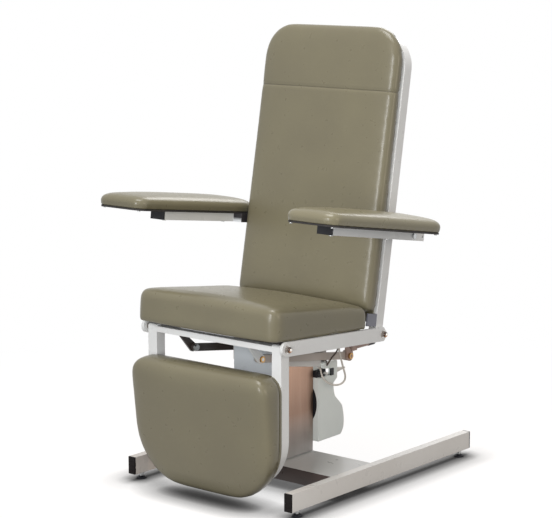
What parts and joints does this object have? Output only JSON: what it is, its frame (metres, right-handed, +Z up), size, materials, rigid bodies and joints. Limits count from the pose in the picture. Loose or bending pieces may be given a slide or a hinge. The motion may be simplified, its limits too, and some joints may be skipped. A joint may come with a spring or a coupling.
{
  "type": "phlebotomy chair",
  "caption": "Upholstered blood-draw chair with reclining back, linked leg rest, flip-up padded armrests and a motorised lifting column on a two-rail base.",
  "frame": {"origin": "on the floor, midway across the overall width and depth of the chair at rest", "axes": "+Z up, +X to the right of someone who looks at the chair's front, +Y to the chair's rear; the sitter faces -Y"},
  "size_m": [0.8678, 0.9134, 1.2934],
  "materials": {
    "frame_paint": "gloss",
    "dark_steel": "satin",
    "stainless": "brushed",
    "chrome": "polished",
    "brass": "satin",
    "black_plastic": "matte",
    "grey_plastic": "matte",
    "white_plastic": "satin",
    "cable_rubber": "matte",
    "upholstery": "satin",
    "plywood": "matte"
  },
  "bodies": {
    "base": {"base_rail_left": "frame_paint", "base_rail_right": "frame_paint", "rail_end_caps": "black_plastic", "cross_channel": "frame_paint", "foot_studs": "chrome", "foot_pads": "black_plastic", "column_sleeve": "stainless", "column_glides": "white_plastic", "column_foot": "dark_steel", "lift_nut_tube": "dark_steel"},
    "lift": {"column_inner": "stainless", "column_shoes": "white_plastic", "lift_head": "frame_paint", "lift_spindle": "chrome", "lift_gearbox": "grey_plastic", "motor_housing": "grey_plastic", "motor_can": "black_plastic", "plugs_black": "black_plastic", "plugs_white": "white_plastic", "motor_cable": "cable_rubber", "cable_glands": "black_plastic", "seat_rails": "frame_paint", "seat_crossmembers": "frame_paint", "seat_board": "plywood", "seat_cushion": "upholstery", "pivot_bolts": "chrome", "lever_bracket": "dark_steel", "release_cable": "black_plastic"},
    "release": {"release_lever": "white_plastic", "release_grip": "black_plastic"},
    "back": {"back_hoop": "frame_paint", "back_crossbars": "frame_paint", "back_board": "black_plastic", "back_cushion": "upholstery", "back_side_plates": "grey_plastic", "back_levers": "dark_steel", "lever_bushes": "brass", "arm_bolts": "chrome"},
    "legrest": {"legrest_frame": "frame_paint", "legrest_board": "black_plastic", "legrest_pad": "upholstery", "legrest_lugs": "dark_steel", "legrest_pins": "chrome", "legrest_bushes": "brass"},
    "link_left": {"link_left": "dark_steel"},
    "link_right": {"link_right": "dark_steel"},
    "gas_cylinder": {"gas_cylinder": "black_plastic"},
    "gas_rod": {"gas_rod": "chrome"},
    "arm_left": {"arm_tube_left": "frame_paint", "arm_cap_left": "black_plastic", "arm_bracket_left": "dark_steel", "arm_plate_left": "black_plastic", "arm_pad_left": "upholstery", "arm_screws_left": "dark_steel"},
    "arm_right": {"arm_tube_right": "frame_paint", "arm_cap_right": "black_plastic", "arm_bracket_right": "dark_steel", "arm_plate_right": "black_plastic", "arm_pad_right": "upholstery", "arm_screws_right": "dark_steel"}
  },
  "joints": [
    {"name": "lift", "type": "slide", "parent": "base", "child": "lift", "axis": [0, 0, 1], "range_m": [0, 0.18]},
    {"name": "back_recline", "type": "hinge", "parent": "lift", "child": "back", "pos_m": [0, 0.06772, 0.42906], "axis": [1, 0, 0], "range_deg": [-50, 0]},
    {"name": "legrest_swing", "type": "hinge", "parent": "lift", "child": "legrest", "pos_m": [0, -0.36427, 0.457], "axis": [1, 0, 0], "range_deg": [-65.75, 0.2]},
    {"name": "link_left_pivot", "type": "hinge", "parent": "legrest", "child": "link_left", "pos_m": [-0.118, -0.31727, 0.404], "axis": [1, 0, 0], "range_deg": [-0.5, 70.75]},
    {"name": "link_right_pivot", "type": "hinge", "parent": "legrest", "child": "link_right", "pos_m": [0.118, -0.31727, 0.404], "axis": [1, 0, 0], "range_deg": [-0.5, 70.75]},
    {"name": "gas_swing", "type": "hinge", "parent": "lift", "child": "gas_cylinder", "pos_m": [0, -0.15697, 0.3973], "axis": [1, 0, 0], "range_deg": [-5, 5]},
    {"name": "gas_stroke", "type": "slide", "parent": "gas_cylinder", "child": "gas_rod", "axis": [0, 0.9989, -0.0474], "range_m": [-0.045, 0.001]},
    {"name": "arm_left_flip", "type": "hinge", "parent": "back", "child": "arm_left", "pos_m": [-0.3, 0.10867, 0.71021], "axis": [1, 0, 0], "range_deg": [-90, 0]},
    {"name": "arm_right_flip", "type": "hinge", "parent": "back", "child": "arm_right", "pos_m": [0.3, 0.10936, 0.71415], "axis": [1, 0, 0], "range_deg": [-90, 0]},
    {"name": "release_pull", "type": "hinge", "parent": "lift", "child": "release", "pos_m": [0.203, -0.00628, 0.39606], "axis": [1, 0, 0], "range_deg": [0, 8], "stiffness_Nm_per_rad": 2, "springref_deg": -2.86}
  ],
  "couplings": [
    {"joint": "legrest_swing", "follows": "back_recline", "ratio": 1.3111},
    {"joint": "link_left_pivot", "follows": "back_recline", "ratio": -1.4049},
    {"joint": "link_right_pivot", "follows": "back_recline", "ratio": -1.4049},
    {"joint": "gas_swing", "follows": "back_recline", "ratio": -0.0086},
    {"joint": "gas_stroke", "follows": "back_recline", "m_per_rad": 0.04321}
  ]
}
